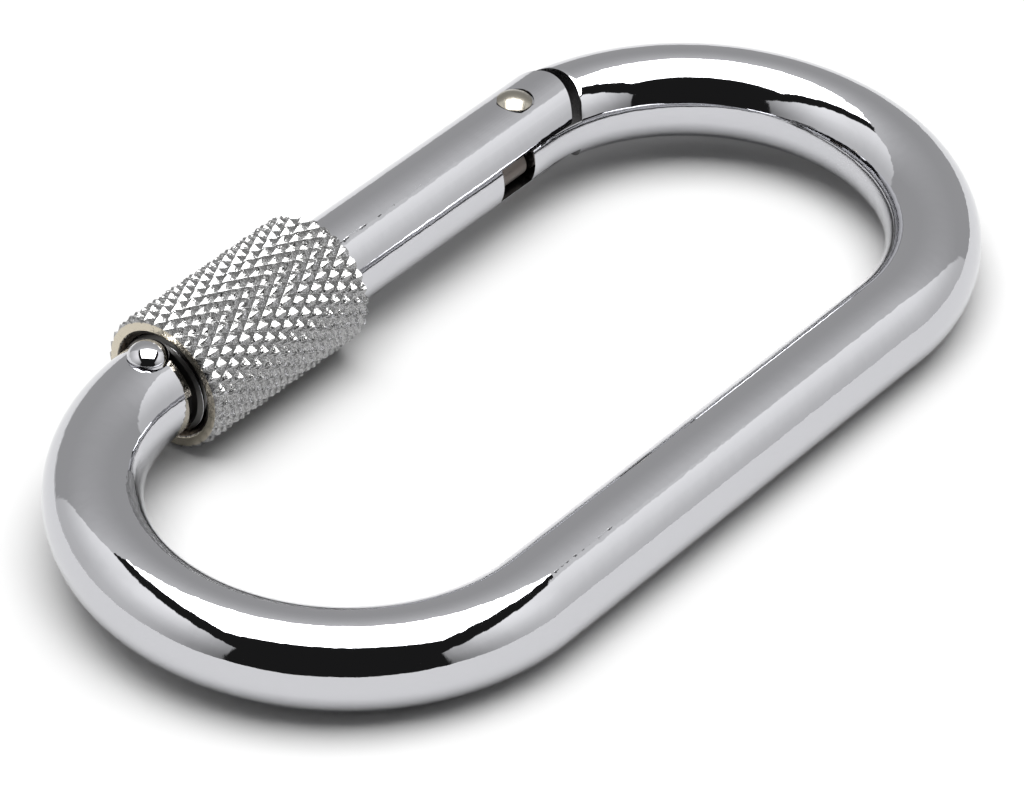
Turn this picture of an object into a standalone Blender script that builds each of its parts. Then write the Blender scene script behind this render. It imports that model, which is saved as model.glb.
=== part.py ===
"""A steel locking carabiner: a round bar bent into a long O, closed by a sprung gate that carries
a knurled screw sleeve.

The ring lies in the XY plane. +Y points to the hinge end, -X to the gate and +Z up. The origin is
the centre of the whole object's box. All lengths are in metres.
"""

import math

import bmesh
import bpy
from mathutils import Matrix, Vector

# Driving dimensions
ROD_RADIUS = 0.005
BOW_RADIUS = 0.0244
HALF_STRAIGHT = 0.0286
SLEEVE_RADIUS = 0.0075

# Places along the gate's axis, from the hinge end to the nose
PIVOT_Y = 0.0279
TONGUE_TIP_Y = 0.0255
SLOT_BOTTOM_Y = 0.0204
PLUNGER_BORE_Y = 0.0084
SLEEVE_BACK_Y = -0.0044
SLEEVE_LIP_Y = -0.0084
THREAD_START_Y = -0.0090
SLEEVE_MOUTH_Y = -0.0277
GATE_END_Y = -0.0279
FRAME_END_Y = -0.0284
TENON_TIP_Y = -0.0290
NOTCH_FLOOR_Y = -0.0293
STUD_Y = -0.0298

# Fits
SEAT_GAP = 0.00015
TONGUE_GAP = 0.0003
PIVOT_CLEARANCE = 0.00006
SLIDE_CLEARANCE = 0.00008

# Hinge
TONGUE_HALF = 0.0018
SHOULDER_RADIUS = 0.0073
EAR_RADIUS = 0.00635
RIVET_SHANK_RADIUS = 0.0015
RIVET_HEAD_RADIUS = 0.0019
RIVET_HEAD_HEIGHT = 0.0008
RIVET_POCKET_RADIUS = 0.0021
POCKET_FLOOR = 0.00465

# Nose
NOTCH_HALF = 0.00175
NOTCH_WALL = -0.0015
TENON_HALF = 0.0014
TENON_OUTER = -0.0012
TENON_INNER = 0.0040
STUD_SHANK_RADIUS = 0.0009
STUD_SHANK_FOOT = 0.0025
STUD_HEAD_RADIUS = 0.002
STUD_HEAD_HEIGHT = 0.00155
STUD_POCKET_RADIUS = 0.00215

# Sleeve and gate thread
THREAD_RADIUS = 0.00535
SLEEVE_BORE_RADIUS = 0.00545
SLEEVE_FACE_RADIUS = 0.0069
MOUTH_CHAMFER = 0.0004
BACK_CHAMFER = 0.0002
GATE_END_CHAMFER = 0.0004

# Plunger and spring
PLUNGER_OFFSET = 0.0026
PLUNGER_RADIUS = 0.0017
PLUNGER_LENGTH = 0.008
SPRING_WIRE_RADIUS = 0.0002
SPRING_COIL_RADIUS = 0.0014
SPRING_TURNS = 7

# Mesh fineness
ROD_SIDES = 32
BOW_STEPS = 18
TURNED_STEPS = 40
SMALL_STEPS = 24
SPRING_STEPS = 10
DOME_STEPS = 5
MERGE = 0.000001
CUT = 0.02

GATE_X = (SLEEVE_RADIUS - ROD_RADIUS) / 2 - BOW_RADIUS
CENTRE_X = GATE_X + BOW_RADIUS
PIVOT = Vector((GATE_X, PIVOT_Y, 0))


def clear_scene():
    for old in list(bpy.data.objects):
        bpy.data.objects.remove(old, do_unlink=True)


def collection(name, hidden=False):
    made = bpy.data.collections.new(name)
    made.hide_render = hidden
    bpy.context.scene.collection.children.link(made)
    return made


def metal(name, colour, roughness):
    made = bpy.data.materials.new(name)
    made.use_nodes = True
    shader = made.node_tree.nodes["Principled BSDF"]
    shader.inputs["Base Color"].default_value = (*colour, 1)
    shader.inputs["Metallic"].default_value = 1
    shader.inputs["Roughness"].default_value = roughness
    return made


def link_mesh(name, mesh, home, material=None):
    made = bpy.data.objects.new(name, mesh)
    home.objects.link(made)
    if material:
        mesh.materials.append(material)
    return made


def as_cutter(obj):
    obj.hide_render = True
    obj.display_type = "WIRE"
    return obj


def shade(obj):
    obj.data.shade_smooth()
    obj.data.set_sharp_from_angle(angle=math.radians(35))


def cylinder_cutter(name, radius, start, end, steps=SMALL_STEPS):
    """A closed cylinder from start to end, kept as a cutter."""
    along = end - start
    mesh = bpy.data.meshes.new(name)
    shape = bmesh.new()
    bmesh.ops.create_cone(
        shape, cap_ends=True, segments=steps, radius1=radius, radius2=radius, depth=along.length
    )
    turn = along.to_track_quat("Z", "Y").to_matrix().to_4x4()
    bmesh.ops.transform(shape, matrix=Matrix.Translation((start + end) / 2) @ turn, verts=shape.verts)
    shape.to_mesh(mesh)
    shape.free()
    return as_cutter(link_mesh(name, mesh, CUTTERS))


def box_mesh(name, low, high):
    mesh = bpy.data.meshes.new(name)
    shape = bmesh.new()
    bmesh.ops.create_cube(shape, size=1)
    bmesh.ops.scale(shape, vec=high - low, verts=shape.verts)
    bmesh.ops.translate(shape, vec=(low + high) / 2, verts=shape.verts)
    shape.to_mesh(mesh)
    shape.free()
    return mesh


def box_cutter(name, low, high):
    return as_cutter(link_mesh(name, box_mesh(name, Vector(low), Vector(high)), CUTTERS))


def combine(obj, other, operation="DIFFERENCE", solver="EXACT"):
    modifier = obj.modifiers.new(other.name, "BOOLEAN")
    modifier.operation = operation
    modifier.solver = solver
    modifier.object = other


def turned(name, profile, material, steps=TURNED_STEPS):
    """A solid of revolution about local Z from (radius, height) points, listed from top to bottom."""
    mesh = bpy.data.meshes.new(name)
    points = [(radius, 0, height) for radius, height in profile]
    closed = profile[0][0] > 0
    edges = [(i, i + 1) for i in range(len(points) - 1)]
    if closed:
        edges.append((len(points) - 1, 0))
    mesh.from_pydata(points, edges, [])
    made = link_mesh(name, mesh, PARTS, material)
    screw = made.modifiers.new("Turn", "SCREW")
    screw.steps = steps
    screw.render_steps = steps
    screw.use_merge_vertices = True
    screw.merge_threshold = MERGE
    screw.use_smooth_shade = True
    return made


def dome(radius, foot, height):
    """Profile points of a domed head, from its crown down to its rim."""
    quarter = [math.radians(90) * (1 - i / DOME_STEPS) for i in range(DOME_STEPS + 1)]
    crown = [(radius * math.cos(a), foot + height * math.sin(a)) for a in quarter]
    return [(0, foot + height), *crown[1:]]


def tube(name, points, radius, resolution, material):
    """A bent round bar along points, as a closed mesh."""
    curve = bpy.data.curves.new(name, "CURVE")
    curve.dimensions = "3D"
    curve.bevel_depth = radius
    curve.bevel_resolution = resolution
    curve.use_fill_caps = True
    spline = curve.splines.new("POLY")
    spline.points.add(len(points) - 1)
    for target, point in zip(spline.points, points):
        target.co = (*point, 1)
    guide = link_mesh(name + "_guide", curve, PARTS)
    graph = bpy.context.evaluated_depsgraph_get()
    mesh = bpy.data.meshes.new_from_object(guide.evaluated_get(graph))
    matrix = guide.matrix_world.copy()
    bpy.data.objects.remove(guide)
    shape = bmesh.new()
    shape.from_mesh(mesh)
    bmesh.ops.remove_doubles(shape, verts=shape.verts, dist=MERGE)
    shape.to_mesh(mesh)
    shape.free()
    made = link_mesh(name, mesh, PARTS, material)
    made.matrix_world = matrix
    return made


def bow(side):
    """Centreline points of the bow at the hinge end (side 1, gate to spine) or nose end (side -1)."""
    angles = [math.pi * (1 - i / BOW_STEPS) for i in range(BOW_STEPS + 1)]
    return [
        Vector((
            CENTRE_X + BOW_RADIUS * math.cos(a),
            side * (HALF_STRAIGHT + BOW_RADIUS * math.sin(a)),
            0,
        ))
        for a in angles
    ]


def hinge_cheeks():
    """Two discs that leave only the tongue between them, with a hollow shoulder beyond."""
    for side, name in ((1, "upper_cheek"), (-1, "lower_cheek")):
        yield cylinder_cutter(
            name,
            SHOULDER_RADIUS,
            PIVOT + Vector((0, 0, side * TONGUE_HALF)),
            PIVOT + Vector((0, 0, side * CUT)),
            TURNED_STEPS,
        )


def make_frame(material):
    nose = Vector((GATE_X, FRAME_END_Y, 0))
    tip = Vector((GATE_X, TONGUE_TIP_Y, 0))
    centreline = [nose, *bow(-1), *reversed(bow(1)), tip]
    frame = tube("frame", centreline, ROD_RADIUS, (ROD_SIDES - 4) // 2, material)
    for cheek in hinge_cheeks():
        combine(frame, cheek)
    hole_radius = RIVET_SHANK_RADIUS + PIVOT_CLEARANCE
    depth = Vector((0, 0, CUT))
    combine(frame, cylinder_cutter("tongue_hole", hole_radius, PIVOT - depth, PIVOT + depth))
    stud = Vector((GATE_X, STUD_Y, 0))
    combine(frame, cylinder_cutter(
        "stud_pocket", STUD_POCKET_RADIUS, stud + Vector((0, 0, POCKET_FLOOR)), stud + depth
    ))
    combine(frame, cylinder_cutter(
        "stud_hole",
        STUD_SHANK_RADIUS + PIVOT_CLEARANCE,
        stud + Vector((0, 0, STUD_SHANK_FOOT - SEAT_GAP)),
        stud + depth,
    ))
    notch = box_cutter(
        "nose_notch",
        (GATE_X + NOTCH_WALL, NOTCH_FLOOR_Y, -NOTCH_HALF),
        (GATE_X + CUT / 2, GATE_END_Y, NOTCH_HALF),
    )
    combine(frame, notch, solver="MANIFOLD")
    shade(frame)
    return frame


def ear_end_cutter():
    """What lies beyond the rounded end of the gate's ears."""
    cutter = box_cutter(
        "ear_end",
        (GATE_X - CUT / 2, PIVOT_Y + EAR_RADIUS / 2, -CUT / 2),
        (GATE_X + CUT / 2, PIVOT_Y + CUT, CUT / 2),
    )
    depth = Vector((0, 0, CUT))
    combine(cutter, cylinder_cutter("ear_round", EAR_RADIUS, PIVOT - depth, PIVOT + depth, TURNED_STEPS))
    return cutter


def make_gate(material):
    """The gate is turned about its own axis, so its profile's heights are places along Y."""
    ear_end = PIVOT_Y + EAR_RADIUS + SEAT_GAP
    gate = turned(
        "gate",
        [
            (0, ear_end),
            (ROD_RADIUS, ear_end),
            (ROD_RADIUS, THREAD_START_Y),
            (THREAD_RADIUS, THREAD_START_Y),
            (THREAD_RADIUS, GATE_END_Y + GATE_END_CHAMFER),
            (THREAD_RADIUS - GATE_END_CHAMFER, GATE_END_Y),
            (0, GATE_END_Y),
        ],
        material,
    )
    lay_along_y(gate)
    combine(gate, ear_end_cutter())
    slot_half = TONGUE_HALF + TONGUE_GAP
    combine(gate, box_cutter(
        "gate_slot",
        (GATE_X - CUT / 2, SLOT_BOTTOM_Y, -slot_half),
        (GATE_X + CUT / 2, PIVOT_Y + CUT, slot_half),
    ))
    depth = Vector((0, 0, CUT))
    hole_radius = RIVET_SHANK_RADIUS + PIVOT_CLEARANCE
    combine(gate, cylinder_cutter("ear_holes", hole_radius, PIVOT - depth, PIVOT + depth))
    for side, name in ((1, "upper_pocket"), (-1, "lower_pocket")):
        floor = PIVOT + Vector((0, 0, side * POCKET_FLOOR))
        combine(gate, cylinder_cutter(name, RIVET_POCKET_RADIUS, floor, floor + side * depth))
    bore_x = GATE_X + PLUNGER_OFFSET
    combine(gate, cylinder_cutter(
        "plunger_bore",
        PLUNGER_RADIUS + SLIDE_CLEARANCE,
        Vector((bore_x, PLUNGER_BORE_Y, 0)),
        Vector((bore_x, PIVOT_Y, 0)),
    ))
    tenon = box_cutter(
        "tenon",
        (GATE_X + TENON_OUTER, TENON_TIP_Y, -TENON_HALF),
        (GATE_X + TENON_INNER, GATE_END_Y + ROD_RADIUS, TENON_HALF),
    )
    combine(gate, tenon, "UNION")
    shade(gate)
    return gate


def lay_along_y(obj, offset=0.0):
    """Turns local Z onto +Y and sets the object on the gate's axis."""
    obj.matrix_world = Matrix.Translation((GATE_X + offset, 0, 0)) @ Matrix.Rotation(
        math.radians(-90), 4, "X"
    )


def make_sleeve(material):
    sleeve = turned(
        "locking_sleeve",
        [
            (SLEEVE_RADIUS - BACK_CHAMFER, SLEEVE_BACK_Y),
            (SLEEVE_RADIUS, SLEEVE_BACK_Y - BACK_CHAMFER),
            (SLEEVE_RADIUS, SLEEVE_MOUTH_Y + MOUTH_CHAMFER),
            (SLEEVE_FACE_RADIUS, SLEEVE_MOUTH_Y),
            (SLEEVE_BORE_RADIUS, SLEEVE_MOUTH_Y),
            (SLEEVE_BORE_RADIUS, SLEEVE_LIP_Y),
            (ROD_RADIUS + SLIDE_CLEARANCE, SLEEVE_LIP_Y),
            (ROD_RADIUS + SLIDE_CLEARANCE, SLEEVE_BACK_Y),
        ],
        material,
    )
    lay_along_y(sleeve)
    return sleeve


def make_rivet(material):
    underside = POCKET_FLOOR + SEAT_GAP
    upper = [*dome(RIVET_HEAD_RADIUS, underside, RIVET_HEAD_HEIGHT), (RIVET_SHANK_RADIUS, underside)]
    lower = [(radius, -height) for radius, height in reversed(upper)]
    rivet = turned("hinge_rivet", upper + lower, material, SMALL_STEPS)
    rivet.location = PIVOT
    return rivet


def make_stud(material):
    underside = POCKET_FLOOR + SEAT_GAP
    stud = turned(
        "stop_stud",
        [
            *dome(STUD_HEAD_RADIUS, underside, STUD_HEAD_HEIGHT),
            (STUD_SHANK_RADIUS, underside),
            (STUD_SHANK_RADIUS, STUD_SHANK_FOOT),
            (0, STUD_SHANK_FOOT),
        ],
        material,
        SMALL_STEPS,
    )
    stud.location = (GATE_X, STUD_Y, 0)
    return stud


def make_plunger(material):
    tip = TONGUE_TIP_Y - TONGUE_GAP
    plunger = turned(
        "plunger",
        [
            *dome(PLUNGER_RADIUS, tip - PLUNGER_RADIUS, PLUNGER_RADIUS),
            (PLUNGER_RADIUS, tip - PLUNGER_LENGTH),
            (0, tip - PLUNGER_LENGTH),
        ],
        material,
        SMALL_STEPS,
    )
    lay_along_y(plunger, PLUNGER_OFFSET)
    return plunger


def make_spring(material):
    """A helix between the bore's floor and the plunger's back."""
    low = PLUNGER_BORE_Y + SPRING_WIRE_RADIUS + SEAT_GAP
    high = TONGUE_TIP_Y - TONGUE_GAP - PLUNGER_LENGTH - SPRING_WIRE_RADIUS - SEAT_GAP
    count = SPRING_TURNS * SPRING_STEPS
    points = []
    for i in range(count + 1):
        angle = 2 * math.pi * i / SPRING_STEPS
        points.append(Vector((
            GATE_X + PLUNGER_OFFSET + SPRING_COIL_RADIUS * math.cos(angle),
            low + (high - low) * i / count,
            SPRING_COIL_RADIUS * math.sin(angle),
        )))
    return tube("gate_spring", points, SPRING_WIRE_RADIUS, 2, material)


def pivot_empty(name, place):
    made = bpy.data.objects.new(name, None)
    made.location = place
    PARTS.objects.link(made)
    return made


def hold(parent, children):
    """Parents pieces to an empty on their joint's axis, leaving them where they are."""
    bpy.context.view_layer.update()
    for child in children:
        child.parent = parent
        child.matrix_parent_inverse = parent.matrix_world.inverted()


clear_scene()
PARTS = collection("locking_carabiner")
CUTTERS = collection("cutters", hidden=True)

CHROME = metal("chrome_plate", (0.78, 0.79, 0.80), 0.05)
SLEEVE_PLATE = metal("sleeve_plate", (0.74, 0.74, 0.73), 0.16)
NICKEL = metal("rivet_nickel", (0.72, 0.69, 0.62), 0.22)
BARE_STEEL = metal("bare_steel", (0.40, 0.37, 0.34), 0.42)
SPRING_STEEL = metal("spring_steel", (0.50, 0.50, 0.51), 0.30)

frame = make_frame(CHROME)
gate = make_gate(CHROME)
sleeve = make_sleeve(SLEEVE_PLATE)
rivet = make_rivet(NICKEL)
stud = make_stud(CHROME)
plunger = make_plunger(BARE_STEEL)
spring = make_spring(SPRING_STEEL)

hinge_axis = pivot_empty("hinge_axis", PIVOT)
gate_axis = pivot_empty("gate_axis", (GATE_X, 0, 0))
hold(hinge_axis, [gate, rivet, spring, plunger, gate_axis])
hold(gate_axis, [sleeve])
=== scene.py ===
import math

import bmesh
import bpy
from bpy.props import FloatProperty, FloatVectorProperty, IntProperty, PointerProperty
from mathutils import Matrix, Vector


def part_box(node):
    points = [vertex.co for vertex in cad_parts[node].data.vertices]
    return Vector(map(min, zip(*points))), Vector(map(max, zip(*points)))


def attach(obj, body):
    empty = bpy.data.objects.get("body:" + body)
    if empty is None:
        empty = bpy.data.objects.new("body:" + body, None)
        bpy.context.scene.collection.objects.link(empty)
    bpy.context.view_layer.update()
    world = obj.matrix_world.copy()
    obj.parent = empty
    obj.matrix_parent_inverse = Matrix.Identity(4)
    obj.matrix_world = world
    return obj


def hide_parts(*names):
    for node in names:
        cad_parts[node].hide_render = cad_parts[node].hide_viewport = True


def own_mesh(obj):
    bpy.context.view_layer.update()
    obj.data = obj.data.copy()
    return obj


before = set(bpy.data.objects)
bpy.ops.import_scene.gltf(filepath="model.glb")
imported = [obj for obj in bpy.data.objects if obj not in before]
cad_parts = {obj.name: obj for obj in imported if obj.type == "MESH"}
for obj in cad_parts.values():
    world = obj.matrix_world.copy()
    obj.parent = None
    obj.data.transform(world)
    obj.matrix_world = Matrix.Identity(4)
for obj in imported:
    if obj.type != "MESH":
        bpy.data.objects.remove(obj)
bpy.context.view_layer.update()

bl_info = {
    "name": "Screw-gate carabiner",
    "version": (1, 0, 0),
    "blender": (4, 5, 0),
    "location": "View3D > Sidebar > Carabiner",
    "description": "Plated steel carabiner with a sprung gate and a knurled locking sleeve",
    "category": "Object",
}

MM = 0.001

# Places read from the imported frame
FRAME_LOW, FRAME_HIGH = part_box("frame")
SLEEVE_LOW, SLEEVE_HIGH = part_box("locking_sleeve")
RIVET_LOW, RIVET_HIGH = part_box("hinge_rivet")
STUD_LOW, STUD_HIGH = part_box("stop_stud")
PLUNGER_LOW, PLUNGER_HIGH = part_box("plunger")
SPRING_LOW, SPRING_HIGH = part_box("gate_spring")
GATE_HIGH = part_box("gate")[1]
ROD_RADIUS = FRAME_HIGH.z
GATE_X = (SLEEVE_LOW.x + SLEEVE_HIGH.x) / 2
BOW_RADIUS = (FRAME_HIGH.x - FRAME_LOW.x) / 2 - ROD_RADIUS
CENTRE_X = GATE_X + BOW_RADIUS
HALF_STRAIGHT = FRAME_HIGH.y - ROD_RADIUS - BOW_RADIUS
PIVOT = Vector((GATE_X, (RIVET_LOW.y + RIVET_HIGH.y) / 2, 0))
STUD = Vector((GATE_X, (STUD_LOW.y + STUD_HIGH.y) / 2, 0))
SLEEVE_RADIUS = SLEEVE_HIGH.z
SLEEVE_MOUTH = SLEEVE_LOW.y
SLEEVE_BACK = SLEEVE_HIGH.y

# Places and fits that the frame's boxes don't give
FRAME_END = -28.4 * MM
GATE_END = -27.9 * MM
TENON_TIP = -29.0 * MM
NOTCH_FLOOR = -29.3 * MM
THREAD_BACK = -9.0 * MM
SLEEVE_LIP = -8.4 * MM
SLOT_BOTTOM = 20.4 * MM
TONGUE_TIP = 25.5 * MM
BORE_FLOOR = 8.4 * MM
SHOULDER_RADIUS = 7.3 * MM
EAR_RADIUS = 6.2 * MM
TONGUE_HALF = 1.9 * MM
FACE_RADIUS = 6.95 * MM
FACE_INNER = 6.1 * MM
NOTCH_HALF = 1.75 * MM
NOTCH_WALL = -1.5 * MM
TENON_HALF = 1.4 * MM
TENON_OUTER = -1.2 * MM
TENON_INNER = 4.0 * MM
POCKET_FLOOR = 4.65 * MM
SHANK_CLEARANCE = 0.06 * MM
THREAD_CREST = 5.35 * MM
THREAD_LEAD_IN = 0.35 * MM
THREAD_FLANK_SHARE = 0.36
THREAD_FLAT_SHARE = 0.14
RUN_OUT = 0.6 * MM
EAR_ALLOWANCE = 0.15 * MM
GATE_EDGE_SHARE = 0.8
BORE_CLEARANCE = 0.08 * MM
SLEEVE_BORE = 5.08 * MM
SLEEVE_BORE_MOUTH = 5.2 * MM
SLEEVE_RELIEF = 5.45 * MM
SLEEVE_RELIEF_MOUTH = 5.48 * MM
KNURL_CUT = SLEEVE_RADIUS - 0.01 * MM
KNURL_END = 0.21 * MM
KNURL_POINT_SHARE = 0.35
RIVET_SHANK = 1.5 * MM
RIVET_HOLE = RIVET_SHANK + SHANK_CLEARANCE
RIVET_HEAD = 1.9 * MM
RIVET_SPOT = 2.1 * MM
RIVET_BRIM = 0.12 * MM
STUD_SHANK = 0.9 * MM
STUD_HOLE = STUD_SHANK + SHANK_CLEARANCE
STUD_FOOT = 2.5 * MM
STUD_HOLE_FLOOR = 2.35 * MM
STUD_HEAD = 2.15 * MM
STUD_SPOT = 2.21 * MM
HEAD_SEAT = POCKET_FLOOR + 0.15 * MM
PLUNGER_CROWN = 0.32 * MM
PLUNGER_CHAMFER = 0.15 * MM
WIRE_RADIUS = 0.2 * MM
FAR = 20 * MM

CAMERA_PLACE = Vector((0.27657, -0.36188, 0.36452))
CAMERA_AIM = Vector((0.00406, -0.00573, 0))
CAMERA_ROLL = 0.04639
CAMERA_LENS = 202.9

# The light tent, in units of its ceiling's height: where its walls stand and its softbox hangs
RIGHT_WALL, RIGHT_SLANT = 0.84, 0.2
LEFT_WALL, LEFT_SLANT = 0.815, 0.12
BACK_DISTANCE = 0.535
SOFTBOX_LEFT, SOFTBOX_RIGHT = -0.56, 0.545
SOFTBOX_FRONT, SOFTBOX_BACK = -0.420, 0.54
SOFTBOX_BLUR = 0.010
PALE_CORNER = (1.105, 1.115)
OPENING = (-1.33, -1.25)
DARK_LEVEL = 0.016
CORNER_LEVEL = 0.88
BEHIND_LEVEL = 0.90
BELOW_LEVEL = 0.75
SEEN_LEVEL = 0.96

# Brightness of its walls from the floor up, as (height, brightness)
SIDE_WALL = (
    (0.0, 0.66), (0.18, 0.70), (0.27, 0.76), (0.37, 0.84), (0.49, 0.94), (0.61, 1.05), (0.76, 1.12),
    (0.93, 1.18),
)
BACK_WALL = (
    (0.0, 0.42), (0.3, 0.435), (0.39, 0.46), (0.52, 0.51), (0.59, 0.55), (0.69, 0.60), (0.80, 0.66),
    (0.93, 0.70), (1.0, 0.73),
)


class CarabinerSizes(bpy.types.PropertyGroup):
    rod_sides: IntProperty(
        name="Bar sides", description="Faces round the bar", default=96, min=24, max=160
    )
    bow_steps: IntProperty(
        name="Bow steps", description="Faces along each bow", default=96, min=24, max=200
    )
    edge_round: FloatProperty(
        name="Edge rounding", description="Radius left on cut edges by polishing",
        default=0.18 * MM, unit="LENGTH",
    )
    nose_chamfer: FloatProperty(
        name="Nose chamfer", description="Chamfer round the bar's nose end",
        default=0.45 * MM, unit="LENGTH",
    )
    slot_half: FloatProperty(
        name="Half slot", description="Half the width of the slot between the gate's ears",
        default=2.05 * MM, unit="LENGTH",
    )
    knurl_starts: IntProperty(
        name="Knurl starts", description="Diamonds round the sleeve", default=30, min=12, max=60
    )
    knurl_rows: IntProperty(
        name="Knurl rows", description="Half diamonds along the sleeve", default=17, min=6, max=40
    )
    knurl_depth: FloatProperty(
        name="Knurl depth", description="Height of the pyramids", default=0.62 * MM, unit="LENGTH"
    )
    knurl_crest: FloatProperty(
        name="Knurl crest", description="Width cut off each pyramid's point",
        default=0.10 * MM, unit="LENGTH",
    )
    knurl_groove: FloatProperty(
        name="Knurl groove", description="Half width of the rounded groove floors",
        default=0.055 * MM, unit="LENGTH",
    )
    thread_pitch: FloatProperty(
        name="Thread pitch", description="Pitch of the gate's thread",
        default=1.0 * MM, unit="LENGTH",
    )
    thread_depth: FloatProperty(
        name="Thread depth", description="Depth of the gate's thread",
        default=0.5 * MM, unit="LENGTH",
    )
    spring_turns: IntProperty(
        name="Spring turns", description="Turns of the gate's spring", default=7, min=3, max=20
    )


class CarabinerFinishes(bpy.types.PropertyGroup):
    chrome: FloatVectorProperty(
        name="Chrome", description="Bright plating of the bar, gate and stud",
        subtype="COLOR", size=3, min=0, max=1, default=(0.57, 0.572, 0.595),
    )
    knurl: FloatVectorProperty(
        name="Sleeve plating", description="Plating on the knurled sleeve",
        subtype="COLOR", size=3, min=0, max=1, default=(0.43, 0.43, 0.43),
    )
    nickel: FloatVectorProperty(
        name="Rivet nickel", description="Warm plating of the hinge rivet",
        subtype="COLOR", size=3, min=0, max=1, default=(0.36, 0.338, 0.29),
    )
    turned_steel: FloatVectorProperty(
        name="Turned steel", description="Thinly plated end face of the sleeve",
        subtype="COLOR", size=3, min=0, max=1, default=(0.58, 0.53, 0.43),
    )
    bare_steel: FloatVectorProperty(
        name="Bare steel", description="Unplated plunger",
        subtype="COLOR", size=3, min=0, max=1, default=(0.145, 0.127, 0.116),
    )
    spring_steel: FloatVectorProperty(
        name="Spring steel", description="Drawn wire of the spring",
        subtype="COLOR", size=3, min=0, max=1, default=(0.50, 0.50, 0.51),
    )


class CarabinerStage(bpy.types.PropertyGroup):
    floor_colour: FloatVectorProperty(
        name="Floor", description="Colour of the pale floor",
        subtype="COLOR", size=3, min=0, max=1, default=(0.45, 0.45, 0.45),
    )
    softbox: FloatProperty(
        name="Softbox", description="Brightness of the overhead light", default=8.0, min=0
    )
    wall: FloatProperty(
        name="Side walls", description="Brightness of the light tent's sides", default=1.15, min=0
    )
    backdrop: FloatProperty(
        name="Back wall", description="Brightness of the tent's grey back", default=1.10, min=0
    )


# Mesh helpers


def home():
    name = "carabiner"
    made = bpy.data.collections.get(name)
    if made is None:
        made = bpy.data.collections.new(name)
        bpy.context.scene.collection.children.link(made)
    return made


def to_object(name, shape, material=None):
    """A new object at the origin from a bmesh, which is freed."""
    bmesh.ops.recalc_face_normals(shape, faces=shape.faces)
    mesh = bpy.data.meshes.new(name)
    shape.to_mesh(mesh)
    shape.free()
    made = bpy.data.objects.new(name, mesh)
    home().objects.link(made)
    if material:
        mesh.materials.append(material)
    return made


def cylinder(name, radius, start, end, steps=64):
    along = end - start
    shape = bmesh.new()
    bmesh.ops.create_cone(
        shape, cap_ends=True, segments=steps, radius1=radius, radius2=radius, depth=along.length
    )
    turn = along.to_track_quat("Z", "Y").to_matrix().to_4x4()
    place = Matrix.Translation((start + end) / 2) @ turn
    bmesh.ops.transform(shape, matrix=place, verts=shape.verts)
    return to_object(name, shape)


def block(name, low, high):
    low, high = Vector(low), Vector(high)
    shape = bmesh.new()
    bmesh.ops.create_cube(shape, size=1)
    bmesh.ops.scale(shape, vec=high - low, verts=shape.verts)
    bmesh.ops.translate(shape, vec=(low + high) / 2, verts=shape.verts)
    return to_object(name, shape)


def turned(profile, steps=96):
    """A solid turned about local Z from (radius, height) points, closed on the axis or itself."""
    shape = bmesh.new()
    points = [shape.verts.new((radius, 0, height)) for radius, height in profile]
    for a, b in zip(points, points[1:]):
        shape.edges.new((a, b))
    if profile[0][0] > 0:
        shape.edges.new((points[-1], points[0]))
    bmesh.ops.spin(
        shape, geom=shape.verts[:] + shape.edges[:], cent=(0, 0, 0), axis=(0, 0, 1),
        angle=2 * math.pi, steps=steps, use_merge=True,
    )
    bmesh.ops.remove_doubles(shape, verts=shape.verts, dist=MM / 10000)
    return shape


def dome(radius, foot, height, steps=24):
    """Profile of a domed head, from its crown down to its rim."""
    quarter = [math.pi / 2 * (1 - i / steps) for i in range(steps + 1)]
    crown = [(radius * math.cos(a), foot + height * math.sin(a)) for a in quarter]
    return [(0, foot + height), *crown[1:]]


def cap(radius, foot, height, steps=20):
    """Profile of a shallow spherical head, from its crown down to its rim."""
    ball = (radius * radius + height * height) / (2 * height)
    widest = math.asin(radius / ball)
    turns = [widest * i / steps for i in range(1, steps + 1)]
    rise = foot + height - ball
    return [(0, foot + height), *((ball * math.sin(a), rise + ball * math.cos(a)) for a in turns)]


def lay_along_y(shape, offset=0.0):
    """Turns local Z onto +Y, on the gate's axis."""
    place = Matrix.Translation((GATE_X + offset, 0, 0)) @ Matrix.Rotation(-math.pi / 2, 4, "X")
    bmesh.ops.transform(shape, matrix=place, verts=shape.verts)


def combine(obj, other, operation="DIFFERENCE"):
    modifier = obj.modifiers.new(other.name, "BOOLEAN")
    modifier.operation = operation
    modifier.solver = "MANIFOLD"
    modifier.object = other


def settle(obj):
    """Makes the object's modifiers part of its mesh and removes the shapes that they used."""
    used = [m.object for m in obj.modifiers if m.type == "BOOLEAN"]
    graph = bpy.context.evaluated_depsgraph_get()
    mesh = bpy.data.meshes.new_from_object(obj.evaluated_get(graph))
    obj.modifiers.clear()
    old = obj.data
    obj.data = mesh
    bpy.data.meshes.remove(old)
    mesh.name = obj.name
    for other in used:
        bpy.data.objects.remove(other)


def clean(obj, dist=MM / 1000):
    shape = bmesh.new()
    shape.from_mesh(obj.data)
    bmesh.ops.remove_doubles(shape, verts=shape.verts, dist=dist)
    bmesh.ops.dissolve_degenerate(shape, edges=shape.edges, dist=dist)
    bmesh.ops.recalc_face_normals(shape, faces=shape.faces)
    shape.to_mesh(obj.data)
    shape.free()


def round_edges(obj, width):
    bevel = obj.modifiers.new("Round", "BEVEL")
    bevel.width = width
    bevel.segments = 2
    bevel.limit_method = "ANGLE"
    bevel.angle_limit = math.radians(30)
    settle(obj)


def shade(obj, angle=40, weighted=True):
    obj.data.shade_smooth()
    obj.data.set_sharp_from_angle(angle=math.radians(angle))
    if weighted:
        weight = obj.modifiers.new("Weight", "WEIGHTED_NORMAL")
        weight.keep_sharp = True
        weight.weight = 100
        settle(obj)


# Node helpers


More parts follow.
